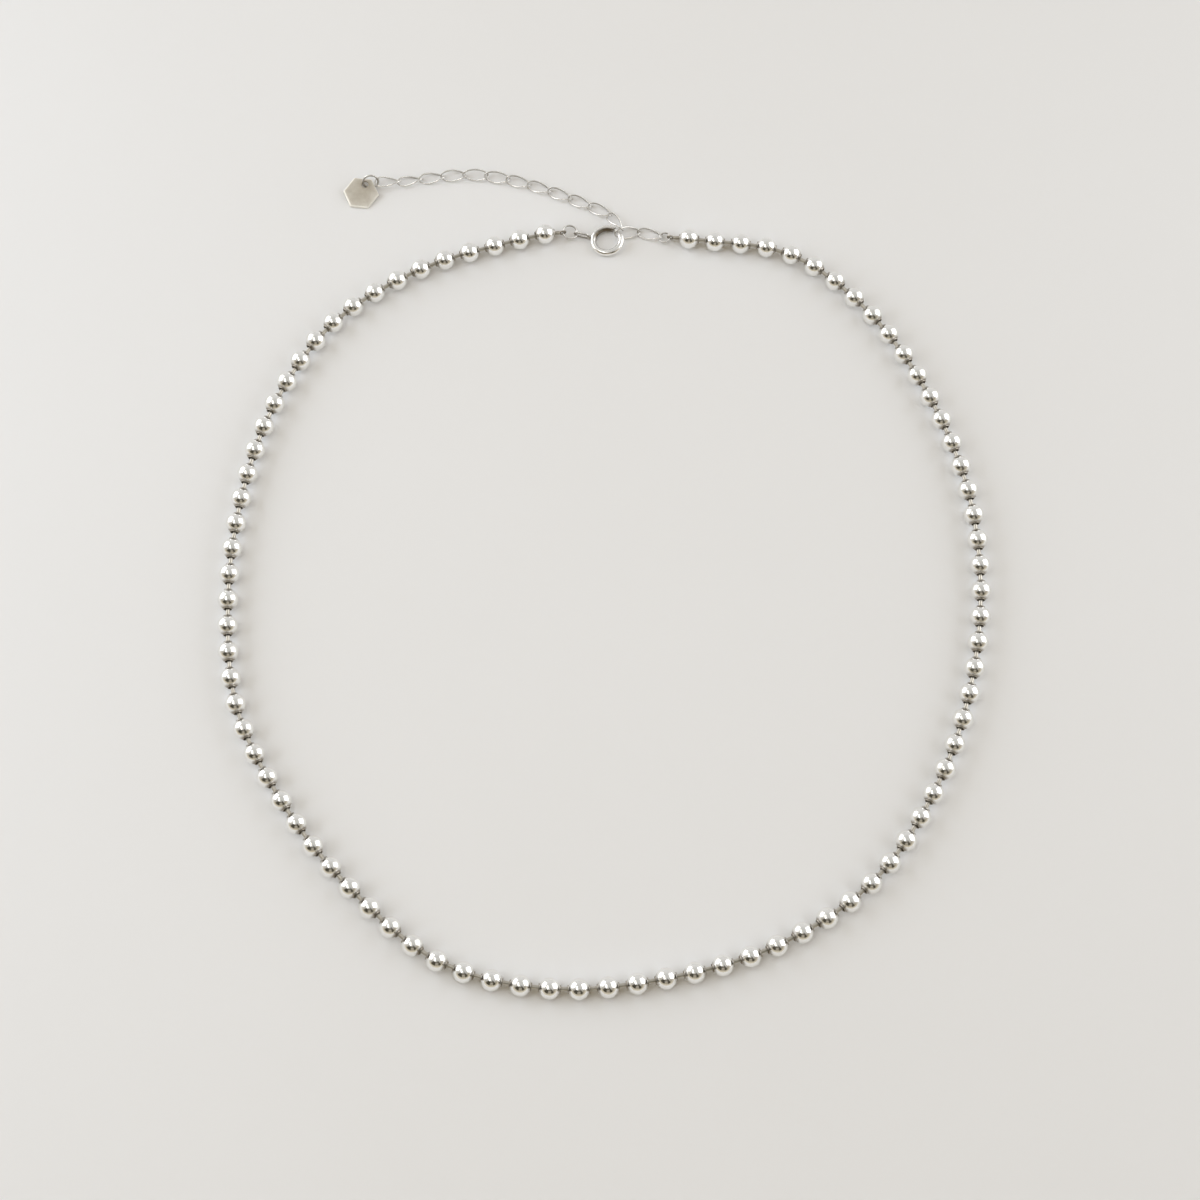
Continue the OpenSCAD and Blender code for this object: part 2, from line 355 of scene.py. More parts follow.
@dataclass
class Bench:
    """Makes and links the nodes of one node tree."""

    tree: bpy.types.NodeTree

    def node(self, kind: str, inputs: dict[int | str, object], out: int | str = 0, **settings: object) -> Term:
        """Make a node, set it, and then fill its sockets.

        Args:
            kind: the node's type, without ShaderNode before it.
            inputs: a term or a plain value for each socket, by number or name.
            out: the output that comes back.
            settings: the node's properties.

        Returns:
            The output, as a term.
        """
        node = self.tree.nodes.new("ShaderNode" + kind)
        for key, value in settings.items():
            setattr(node, key, value)
        for key, value in inputs.items():
            if isinstance(value, Term):
                self.tree.links.new(value.socket, node.inputs[key])
            else:
                node.inputs[key].default_value = value
        return Term(self, node.outputs[out])

    def ramp(self, value: Term, stops: list[tuple[float, float]]) -> Term:
        """Number from 0 to 1 that a ramp gives to a value.

        Args:
            value: where on the ramp.
            stops: pairs of place and brightness.

        Returns:
            The brightness there.
        """
        shade = self.node("ValToRGB", {"Fac": value})
        elements = shade.socket.node.color_ramp.elements
        while len(elements) < len(stops):
            elements.new(1.0)
        for element, (place, grey) in zip(elements, stops):
            element.position = place
            element.color = (grey, grey, grey, 1.0)
        return self.node("SeparateColor", {0: shade})

    def blend(self, share: Term, first: Triple | Term, second: Triple | Term) -> Term:
        """Colour that goes from the first to the second as the share goes from 0 to 1."""
        pair = [c if isinstance(c, Term) else (*c, 1.0) for c in (first, second)]
        return self.node("Mix", {0: share, 6: pair[0], 7: pair[1]}, out=2, data_type="RGBA")

    def emission(self, colour: Triple | Term) -> Term:
        """Plain light of a colour."""
        value = colour if isinstance(colour, Term) else (*colour, 1.0)
        return self.node("Emission", {"Color": value, "Strength": 1.0})

    def bump(self, strength: float, depth_mm: float, height: Term) -> Term:
        """Normal of a surface dented by a height."""
        return self.node("Bump", {"Strength": strength, "Distance": depth_mm * MM, "Height": height})

    def position(self) -> Term:
        """Place on the object, in metres."""
        return self.node("TexCoord", {}, out="Object")

    def show(self, surface: Term, kind: str = "ShaderNodeOutputMaterial") -> None:
        """Send a shader to the tree's output."""
        self.tree.links.new(surface.socket, self.tree.nodes.new(kind).inputs["Surface"])

    def noise(self, where: Term, grain_mm: float, detail: float, stretch: float = 0.0) -> Term:
        """Cloudy value from 0 to 1, with clouds of about grain_mm; a stretch warps them."""
        inputs = {"Vector": where, "Scale": 1.0 / (grain_mm * MM), "Detail": detail, "Distortion": stretch}
        return self.node("TexNoise", {**inputs, "Roughness": 0.55}, out="Fac", noise_dimensions="3D")


def bench_on(owner: bpy.types.Material | bpy.types.World) -> Bench:
    """Bench on the emptied node tree of a material or a world."""
    owner.use_nodes = True
    owner.node_tree.nodes.clear()
    return Bench(owner.node_tree)


def new_material(name: str) -> tuple[bpy.types.Material, Bench]:
    """An empty node material and the bench that fills it."""
    material = bpy.data.materials.new(name)
    return material, bench_on(material)


@dataclass(frozen=True)
class Silver:
    """Silver with a mirror polish or a drawn satin finish, darker and rougher where the mesh says so.

    The darkening is the mesh's attribute of tarnished silver and painted shade, plus the
    thick parts of a cloud. The roughness rises with the clouds, with the darkening and in
    fine scratches, which also dent the surface.
    """

    name: str
    colour: Triple
    tarnish_and_shade_colour: Triple
    roughness: float
    roughness_spread: float
    cloud_mm: float
    grain_mm: float
    dent: float
    brush: Triple = (1.0, 1.0, 1.0)
    scratch_share: float = 0.1
    dent_mm: float = 0.02

    def material(self) -> bpy.types.Material:
        """Build the material."""
        material, bench = new_material(self.name)
        where = bench.position()
        brushed = bench.node("Mapping", {"Vector": where, "Scale": self.brush}, vector_type="POINT")
        tarnish_and_shade = bench.node("Attribute", {}, out="Fac", attribute_name="tarnish_and_shade")
        cloud = bench.noise(where, self.cloud_mm, 3.0)
        grain = bench.noise(brushed, self.grain_mm, 4.0, 0.2)
        scratch = bench.ramp(grain, [(0.0, 0.0), (0.47, 0.0), (0.5, 1.0), (0.53, 0.0)]) * self.scratch_share
        # Painted shade and tarnished silver from the mesh, with the clouds, blend the colour towards the dark one.
        tarnish_and_shade_mix = (tarnish_and_shade + (cloud - 0.55) * 0.5).limited(0.0, 1.0)
        colour = bench.blend(tarnish_and_shade_mix, self.colour, self.tarnish_and_shade_colour)
        rough = self.roughness + (cloud - 0.5) * self.roughness_spread + tarnish_and_shade_mix * 0.22 + scratch * 0.5
        height = cloud * 0.6 + grain * 0.4 - scratch
        normal = bench.bump(self.dent, self.dent_mm, height)
        inputs = {"Base Color": colour, "Metallic": 1.0, "Roughness": rough.limited(0.03, 0.8), "Normal": normal}
        bench.show(bench.node("BsdfPrincipled", inputs))
        return material


@dataclass(frozen=True)
class PaleFloor:
    """Matt pale floor, with the faintest mottling and tooth.

    It glows evenly far from the choker, beyond the lights, so that low views end in a pale ground.
    """

    colour: Triple = (0.825, 0.831, 0.836)
    shade: Triple = (0.805, 0.81, 0.812)
    far_glow: Triple = (0.70, 0.70, 0.685)
    far_from: float = 0.22
    far_over: float = 0.25
    roughness: float = 0.92

    def material(self) -> bpy.types.Material:
        """Build the material."""
        material, bench = new_material("pale_floor")
        where = bench.position()
        wide = bench.noise(where, 40.0, 2.0)
        tooth = bench.noise(where, 0.5, 3.0)
        colour = bench.blend((wide * 0.7 + tooth * 0.3).limited(0.0, 1.0), self.shade, self.colour)
        normal = bench.bump(0.25, 0.03, tooth)
        matt = bench.node("BsdfPrincipled", {"Base Color": colour, "Roughness": self.roughness, "Normal": normal})
        away = bench.node("VectorMath", {0: where}, out="Value", operation="LENGTH")
        far = ((away - self.far_from) * (1 / self.far_over)).limited(0.0, 1.0)
        bench.show(bench.node("MixShader", {0: far, 1: matt, 2: bench.emission(self.far_glow)}))
        return material


@dataclass(frozen=True)
class Glow:
    """Plain emission for a card that only the reflections see."""

    name: str
    colour: Triple

    def material(self) -> bpy.types.Material:
        """Build the material."""
        material, bench = new_material(self.name)
        bench.show(bench.emission(self.colour))
        return material


@dataclass(frozen=True)
class RoomGlow:
    """The room that only the reflections see: pale behind the choker, dim and warm before it.

    With y and z in parts of the radius, and each share held from 0 to 1: the share of behind is
    1.6 y + 0.75, and the ceiling takes over by 2.5 z - 1.35. On the viewer's side the lowest part
    shows the cloth, which rises there, by 1.9 - 5 z.
    """

    radius: float
    before: Triple
    behind: Triple
    ceiling: Triple
    cloth: Triple

    def material(self) -> bpy.types.Material:
        """Build the material."""
        material, bench = new_material("room_glow")
        where = bench.position()
        y = bench.node("SeparateXYZ", {0: where}, out=1)
        z = y.beside(2)
        share = (y * (1.6 / self.radius) + 0.75).limited(0.0, 1.0)
        low = (1.9 - z * (5.0 / self.radius)).limited(0.0, 1.0)
        around = bench.blend(share, bench.blend(low, self.before, self.cloth), self.behind)
        above = (z * (2.5 / self.radius) - 1.35).limited(0.0, 1.0)
        bench.show(bench.emission(bench.blend(above, around, self.ceiling)))
        return material


# ---------------------------------------------------------------- the string


@dataclass
class StringLine:
    """The line of the beads: their middles at equal steps along a curve, and the two end eyes."""

    bead_count: int = 86
    bead_r: float = 1.45
    left_eye: Triple = (-7.36, 58.15, 0.95)
    right_eye: Triple = (8.75, 58.0, 0.82)
    points: tuple[tuple[float, float], ...] = (
        (11.5, 57.5), (26.5, 55.5), (38, 46.5), (46.5, 33.5), (52, 18.5), (53.5, 3),
        (51.5, -12.5), (46.5, -26.5), (38, -39.5), (25.5, -48.5), (11, -53.5), (-4.5, -55.5),
        (-19.5, -52.5), (-32, -43), (-42, -31.5), (-49.5, -18), (-52, -2.5), (-51.5, 13),
        (-48, 28), (-40.5, 41.5), (-28, 51), (-13.5, 56.5), (-10, 57.5),
    )  # fmt: skip

    def middles(self) -> Array:
        """The beads' middles, from the extender end clockwise to the clasp end."""
        flat = even_points(spline(np.array(self.points, float)), self.bead_count)
        return np.column_stack([flat, np.full(self.bead_count, self.bead_r)])

    def directions(self) -> Array:
        """Each bead's hole axis, which runs halfway between the directions of its two bars."""
        steps = unit(np.diff(np.vstack([self.right_eye, self.middles(), self.left_eye]), axis=0))
        return steps[1:] + steps[:-1]


@dataclass
class Beads:
    """The round hollow beads, each with a small collar round the hole on both sides."""

    line: StringLine
    wall: float = 0.22
    hole_r: float = 0.5
    collar_r: float = 0.6
    collar_end: float = 1.47
    fillet: float = 0.03
    sides: int = 30
    outer_steps: int = 15
    inner_steps: int = 5

    def profile(self) -> tuple[Array, Array]:
        """Closed section of a bead's wall and how far each point is darkened.

        The outside is r = R sin p, h = R cos p, with p the angle from the hole's axis. It meets
        the collar in a small hollow; the collar runs straight out and ends in a half round lip.
        The hole's wall is straight, and the inside is a circle again. The collar's end and the
        hole are darkened, as tarnished silver and as painted shade for the shadow in and round
        the hole, and the darkening fades over the bead with the distance from them.
        """
        outer_r, inner_r = self.line.bead_r, self.line.bead_r - self.wall
        start = asin((self.collar_r + self.fillet) / outer_r)
        p = np.linspace(start, pi - start, self.outer_steps)
        outer = outer_r * np.stack([np.sin(p), np.cos(p)], axis=-1)
        lip_r = (self.collar_r - self.hole_r) / 2
        q = np.linspace(0.0, pi, 6)[:, None]
        lip = np.array([self.hole_r + lip_r, self.collar_end - lip_r]) + lip_r * np.hstack([-np.cos(q), np.sin(q)])
        foot = [[self.collar_r, outer[0, 1] + self.fillet]]
        collar = np.vstack([lip, foot])
        back = np.linspace(pi - asin(self.hole_r / inner_r), asin(self.hole_r / inner_r), self.inner_steps)
        inner = inner_r * np.stack([np.sin(back), np.cos(back)], axis=-1)
        section = np.vstack([outer, collar[::-1] * [1.0, -1.0], inner, collar])
        # Darkening of the collar's lip and the hole: tarnished silver and painted shade of the hole's shadow; near
        # fades it over the outside.
        near = np.exp(-((np.minimum(p, pi - p) - start) / 0.2) ** 2)
        dark = np.array([1.0, 1.0, 1.0, 1.0, 0.95, 0.85, 0.7])
        return section, np.concatenate([near, dark[::-1], np.ones(self.inner_steps), dark])

    def build(self, finish: bpy.types.Material) -> None:
        """Turn the section about every bead's hole.

        The darkening on the outside is 0.35 of the section's, and 0.6 more where the hole faces -Y, towards the camera,
        which is painted shade.
        """
        section, tarnish_and_shade = self.profile()
        along = self.line.directions()
        # Painted shade: hole ends that face -Y, towards the camera, are darkened more.
        viewer_side_shade = np.clip(-np.sign(section[None, :, 1]) * along[:, 1:2], 0.0, 1.0)
        share = np.where(np.arange(len(section)) < self.outer_steps, 0.35 + 0.6 * viewer_side_shade, 1.0)
        skin = Skin()
        grid = turned(section, self.sides, self.line.middles(), along)
        skin.add(grid, True, True, (share * tarnish_and_shade)[:, None, :], inside_out=True)
        skin.piece("beads", finish)


@dataclass(frozen=True)
class PinShape:
    """A bar's start: a flat round head with rounded edges, and a fillet to the shank."""

    head_start: float = 0.45
    head_r: float = 0.65
    head_t: float = 0.2
    bar_r: float = 0.28
    edge: float = 0.03

    def profile(self) -> Array:
        """Distance from the axis and height, from the head's middle to the shank."""
        q = np.linspace(0.0, pi / 2, 3)[:, None]
        start, stop, edge = self.head_start, self.head_start + self.head_t, self.edge
        lower = np.array([self.head_r - edge, start + edge]) + edge * np.hstack([np.sin(q), -np.cos(q)])
        upper = np.array([self.head_r - edge, stop - edge]) + edge * np.hstack([np.cos(q), np.sin(q)])
        foot = np.array([self.bar_r + edge, stop + edge]) - edge * np.hstack([np.sin(q), np.cos(q)])
        return np.vstack([[0.0, start], lower, upper, foot])


@dataclass
class Bars:
    """The short bars between neighbouring beads, each with a head caught inside the bead at either end."""

    line: StringLine
    pin: PinShape = PinShape()
    sides: int = 16

    def build(self, finish: bpy.types.Material) -> None:
        """Turn each bar about the line between two beads' middles.

        The heads and the ends of the shank are darkened, painted shade where the beads shadow
        them, and the shank is bright at its middle: with x the share of the way from the middle
        to an end, the darkening is 0.12 + 2.4 x^2, at most 1.
        """
        middles = self.line.middles()
        steps = np.diff(middles, axis=0)
        start = self.pin.profile()
        span = float(np.linalg.norm(steps, axis=1).mean())
        shank = np.column_stack([np.full(6, self.pin.bar_r), np.linspace(0.36, 0.64, 6) * span])
        end = start[::-1] * [1.0, -1.0] + [0.0, span]
        profile = np.vstack([start, shank, end])
        skin = Skin()
        # Painted shade: darker towards the ends, where the beads shadow the bar.
        tarnish_and_shade = np.minimum(0.12 + 2.4 * ((profile[:, 1] - span / 2) / (span / 2)) ** 2, 1.0)
        skin.add(turned(profile, self.sides, middles[:-1], steps), True, False, tarnish_and_shade, inside_out=True)
        skin.piece("bars", finish)


@dataclass
class EndPin:
    """A pin that leaves an end bead and ends in an upright wire eye."""

    node: str
    bead: Array
    eye: Triple
    pin: PinShape = PinShape()
    eye_r: float = 0.42
    eye_wire: float = 0.26
    sides: int = 24

    def build(self, finish: bpy.types.Material) -> None:
        """Turn the pin, and bend its eye as a ring that stands upright in the pin's plane."""
        direction = np.array(self.eye) - self.bead
        span = float(np.linalg.norm(direction))
        bar_r, stop = self.pin.bar_r, span - self.eye_r
        narrower, short = eased(bar_r - self.eye_wire / 2, 5)[0], eased(self.eye_wire, 5)[1]
        shoulder = np.column_stack([bar_r - narrower, stop - short])
        profile = np.vstack([self.pin.profile(), [[bar_r, span * 0.5]], shoulder, [[0.0, stop]]])
        # The pin is darkest 1.3 mm from the bead's middle, by the hole, and lighter along it.
        tarnish_and_shade = np.clip(0.6 - 0.25 * np.abs(profile[:, 1] - 1.3), 0.15, 0.6)
        skin = Skin()
        skin.add(turned(profile, self.sides, self.bead[None], direction[None]), True, False, tarnish_and_shade, inside_out=True)
        a = once_round(40)
        heading = degrees(atan2(direction[1], direction[0]))
        lean = degrees(acos(direction[2] / span))
        loop = np.stack([self.eye_r * np.cos(a), np.zeros_like(a), self.eye_r * np.sin(a)], axis=-1)
        wire = placed(swept(loop, loop, self.eye_wire / 2, 12, True), (0.0, lean, heading), self.eye)
        # Painted shade: the eye is darkened at least 0.35 all over, as tarnished silver and shade, and more on its
        # sides and underside.
        skin.add(wire, True, True, np.maximum(0.35, painted_underside_shade(wire, 0.9)), inside_out=True)
        skin.piece(self.node, finish)


@dataclass
class JumpRing:
    """A round wire ring, cut once; its two ends meet at a hair's gap."""

    node: str
    at: Triple
    turn: Triple
    mean_d: float
    wire: float
    cut_at: float
    cut: float = 0.03
    far: float = 0.8
    sides: int = 14

    def build(self, finish: bpy.types.Material) -> None:
        """Carry the wire round the circle from one side of the cut to the other."""
        r = self.mean_d / 2
        length, half_cut = 2 * pi * r, self.cut / 2
        places, radii = wire_with_ends(half_cut, length - half_cut, self.wire / 2, self.wire * 0.12, 64)
        grid = arc_points(r, np.degrees(places / r) + self.cut_at, radii, once_round(self.sides))
        # The ends at the cut are darkened, and the wire gets painted shade on its sides and underside.
        wear_and_shade = 0.6 * np.exp(-((np.minimum(places, length - places)) / 0.12) ** 2)
        skin = Skin()
        wire = placed(grid, self.turn, self.at)
        skin.add(wire, False, True, np.maximum(wear_and_shade[:, None], painted_underside_shade(wire, 0.5, self.far)))
        skin.piece(self.node, finish)


def arc_points(arc_r: float, angles: Array, radii: Array, around: Array) -> Array:
    """Section carried along a circle about Z.

    A point is (R + r(i) cos b) (cos a(i), sin a(i)), at the height r(i) sin b.

    Args:
        arc_r: the circle's radius R.
        angles: the places a along it, in degrees.
        radii: the section's radius r at each place.
        around: the places b round the section, in radians, one row or one for each place.

    Returns:
        A grid of points, places x points round the section x 3.
    """
    a, r = np.radians(angles)[:, None], radii[:, None]
    reach = arc_r + r * np.cos(around)
    return np.stack([reach * np.cos(a), reach * np.sin(a), r * np.sin(around)], axis=-1)


def painted_underside_shade(wire: Array, near: float = 0.1, far: float = 0.8) -> Array:
    """Painted shade on the sides and the underside of a wire, heavier on the far side of its loop.

    At a height of h radii above the middle line it is m times 1 + m/2 - 1.3 h, kept from 0 to 1,
    where m runs from near to far with the place's share of the loop's way along Y.

    Args:
        wire: points, places x points round the wire x 3.
        near: the most that it is on the viewer's side of the loop.
        far: the most that it is on the clasp's side.

    Returns:
        How far each point is darkened, places x points round the wire.
    """
    middle = wire.mean(axis=1, keepdims=True)
    away = wire - middle
    height = away[..., 2] / np.maximum(np.linalg.norm(away, axis=-1), 1e-9)
    y = middle[..., 1]
    share = (y - y.min()) / max(float(np.ptp(y)), 1e-9)
    most = near + (far - near) * share
    return most * np.clip(1 + most / 2 - 1.3 * height, 0.0, 1.0)


# ---------------------------------------------------------------- the clasp


@dataclass
class Clasp:
    """The spring ring clasp: a hollow tube bent to a C, its tail with an upright eye, and its gate."""

    clasp_r: float = 2.1
    tube_r: float = 0.47
    bore_r: float = 0.27
    gate_r: float = 0.19
    slot_w: float = 0.34
    tilt: float = 6.0
    mouth: tuple[float, float] = (24.0, 60.0)
    chamber_end: float = 153.0
    socket_start: float = 8.0
    slot: tuple[float, float] = (72.0, 131.0)
    gate: tuple[float, float] = (17.0, 100.0)
    knob_turn: float = 78.0
    stem_l: float = 0.7
    stem_r: float = 0.12
    knob_r: float = 0.18
    lip: float = 0.08
    tail_turn: float = 167.5
    tail_from: float = 2.3
    tail_to: float = 3.05
    tail_r: float = 0.28
    tail_eye_r: float = 0.42
    tail_eye_l: float = 1.26
    tail_wire: float = 0.34
    tail_z: float = 0.64
    sides: int = 32

    @property
    def at(self) -> Array:
        """Middle of the clasp's ring."""
        return np.array([-0.7, 57.2, self.tube_r + self.clasp_r * sin(radians(self.tilt))])

    def on_clasp(self, points: Array) -> Array:
        """Points of the level clasp, tilted and carried to its place."""
        return placed(points, (0.0, -self.tilt, 0.0), self.at)

    def section(self, angles: Array, radii: Array, gap: Array) -> Array:
        """Round section carried along the clasp's circle, open at its outer side by a gap.

        The angle round the section goes from half the gap's angle, asin(gap / 2r), round the
        inner side to the same angle below.

        Args:
            angles: places along the circle, in degrees.
            radii: the section's radius at each place.
            gap: the gap's width at each place; 0 closes the section.

        Returns:
            A grid of points, places x (sides + 1) x 3.
        """
        half = np.arcsin(np.clip(gap / 2 / np.maximum(radii, 1e-9), 0.0, 1.0))[:, None]
        share = np.linspace(0.0, 1.0, self.sides + 1)[None, :]
        return arc_points(self.clasp_r, angles, radii, half + share * (2 * pi - 2 * half))

    def slot_gap(self, angles: Array) -> Array:
        """Width of the slot at each place: full inside, and round at its ends."""
        run = np.radians(np.minimum(angles - self.slot[0], self.slot[1] - angles)) * self.clasp_r
        into = np.clip(1 - run / (self.slot_w / 2), 0.0, 1.0)
        return np.where(run > 0, self.slot_w * np.sqrt(1 - into**2), 0.0)

    def slot_places(self) -> Array:
        """Places along the slot, close together at its round ends."""
        inward = eased(degrees(self.slot_w / 2 / self.clasp_r), 7)[0]
        near, far = self.slot[0] + inward, self.slot[1] - inward[::-1]
        return np.concatenate([near, np.linspace(near[-1], far[0], 18)[1:-1], far])

    def tube(self, skin: Skin) -> None:
        """The C of hollow tube: outside, chamber, socket, the lips of the slot and the two mouths.

        The outside is darkened at the mouths, and painted shade darkens the inner side of the ring's far half.
        """
        run, narrower = eased(self.lip, 5)
        size = self.tube_r - narrower
        first = self.mouth[1] + np.degrees(run / self.clasp_r)
        last = 360 + self.mouth[0] - np.degrees(run[::-1] / self.clasp_r)
        slot = self.slot_places()
        angles = np.concatenate(
            [first, np.linspace(first[-1], slot[0], 5)[1:-1], slot, np.linspace(slot[-1], last[0], 84)[1:-1], last]
        )
        radii = np.full(len(angles), self.tube_r)
        radii[: len(size)], radii[-len(size) :] = size, size[::-1]
        gap = self.slot_gap(angles)
        outside = self.section(angles, radii, gap)
        wear_and_shade = 0.5 * np.exp(-((angles - angles[0]) / 3) ** 2) + 0.5 * np.exp(-((angles[-1] - angles) / 3) ** 2)
        # Painted shade: the inner side of the ring's far half is darkened.
        inner = np.clip(-1.2 * np.cos(np.linspace(0.0, 2 * pi, self.sides + 1)) + 0.4, 0.0, 1.0)
        back = np.clip(1.3 * np.sin(np.radians(angles) - 0.35), 0.0, 1.0)
        skin.add(self.on_clasp(outside), False, False, np.maximum(wear_and_shade[:, None], back[:, None] * inner))
        hollow = angles <= self.chamber_end
        bore = np.full(hollow.sum(), self.bore_r)
        bore[-1] = 0.0
        inside_angles = angles[hollow].copy()
        inside_angles[0] = self.mouth[1]
        inside = self.section(inside_angles, bore, gap[hollow])
        skin.add(self.on_clasp(inside), False, False, 0.9, inside_out=True)
        in_slot = (angles >= self.slot[0]) & (angles <= self.slot[1])
        for side in (0, -1):
            lip = np.stack([outside[in_slot, side], inside[in_slot[hollow], side]], axis=1)
            skin.add(self.on_clasp(lip), False, False, 0.6, inside_out=side == 0)
        socket_angles = np.linspace(self.mouth[0], self.socket_start, 6)
        socket_r = np.full(6, self.bore_r)
        socket_r[-1] = 0.0
        socket = self.section(socket_angles, socket_r, np.zeros(6))
        skin.add(self.on_clasp(socket), False, False, 0.9)
        skin.add(self.on_clasp(np.stack([outside[0], inside[0]])), False, False, 0.5, inside_out=True)
        skin.add(self.on_clasp(np.stack([outside[-1], socket[0]])), False, False, 0.5)

    def tail(self, skin: Skin) -> None:
        """The collar soldered to the tube, and the upright oval eye that takes the jump ring.

        The eye's middle line is a circle whose right and left halves are moved apart by a
        straight run, and the collar narrows slightly at its end by the eye.
        """
        turn = radians(self.tail_turn)
        along = np.array([cos(turn), sin(turn), 0.0])
        start = self.at + self.tail_from * along
        start[2] = self.at[2] + self.tail_from * cos(turn) * sin(radians(self.tilt))
        end = self.at + self.tail_to * along
        end[2] = self.tail_z
        length = float(np.linalg.norm(end - start))
        h = np.linspace(0.0, length, 9)
        r = self.tail_r * np.ones_like(h)
        r[-2:] = [self.tail_r * 0.985, self.tail_r * 0.9]
        profile = np.vstack([[0.0, 0.0], np.column_stack([r, h]), [0.0, length]])
        tarnish_and_shade = np.concatenate([[0.5], 0.5 + 0.4 * np.exp(-h / 0.25), [0.6]])
        skin.add(turned(profile, 24, start[None], (end - start)[None]), True, False, tarnish_and_shade, inside_out=True)
        middle = self.at + (self.tail_to + self.tail_eye_l / 2 + self.tail_eye_r - self.tail_wire / 2) * along
        middle[2] = self.tail_z
        a = np.concatenate([np.linspace(-pi / 2, pi / 2, 17), np.linspace(pi / 2, 3 * pi / 2, 17)])
        shift = np.concatenate([np.full(17, 0.5), np.full(17, -0.5)]) * self.tail_eye_l
        loop = np.stack([self.tail_eye_r * np.cos(a) + shift, self.tail_eye_r * np.sin(a), np.zeros_like(a)], axis=-1)
        out = np.stack([np.cos(a), np.sin(a), np.zeros_like(a)], axis=-1)
        wire = placed(swept(loop, out, self.tail_wire / 2, 14, True), (90.0, 0.0, self.tail_turn), middle)
        # Painted shade on the eye's sides and underside, over a slight darkening all round.
        skin.add(wire, True, True, np.maximum(0.1, painted_underside_shade(wire, 0.9)), inside_out=True)

    def gate_wire(self, skin: Skin) -> None:
        """The gate: a wire arc with half-ball ends, a flared stem and a ball for the thumb."""
        low, high = (radians(angle) * self.clasp_r for angle in self.gate)
        places, radii = wire_with_ends(low - self.gate_r, high, self.gate_r, self.gate_r * 0.98, 30)
        grid = arc_points(self.clasp_r, np.degrees(places / self.clasp_r), radii, once_round(16))
        skin.add(self.on_clasp(grid), False, True, 0.12)
        turn = radians(self.knob_turn)
        out = np.array([cos(turn), sin(turn), 0.0])
        foot = self.clasp_r * out
        h = np.linspace(0.0, self.stem_l, 8)
        r = self.stem_r * (1 + 0.25 * np.exp(-((h - self.gate_r) / 0.1) ** 2))
        stem = turned(np.vstack([[0.0, 0.0], np.column_stack([r, h]), [0.0, self.stem_l]]), 16, foot[None], out[None])
        skin.add(self.on_clasp(stem), True, False, 0.35, inside_out=True)
        p = np.linspace(0.0, pi, 13)
        knob = self.knob_r * np.column_stack([np.sin(p), -np.cos(p)])
        ball = turned(knob, 20, (foot + self.stem_l * out)[None], out[None])
        skin.add(self.on_clasp(ball), True, False, 0.05, inside_out=True)

    def build(self, finish: bpy.types.Material) -> None:
        """Make the fixed ring and the sliding gate."""
        ring, gate = Skin(), Skin()
        self.tube(ring)
        self.tail(ring)
        self.gate_wire(gate)
        ring.piece("clasp_ring", finish)
        gate.piece("clasp_gate", finish, body=Body.GATE)


# ---------------------------------------------------------------- the extender


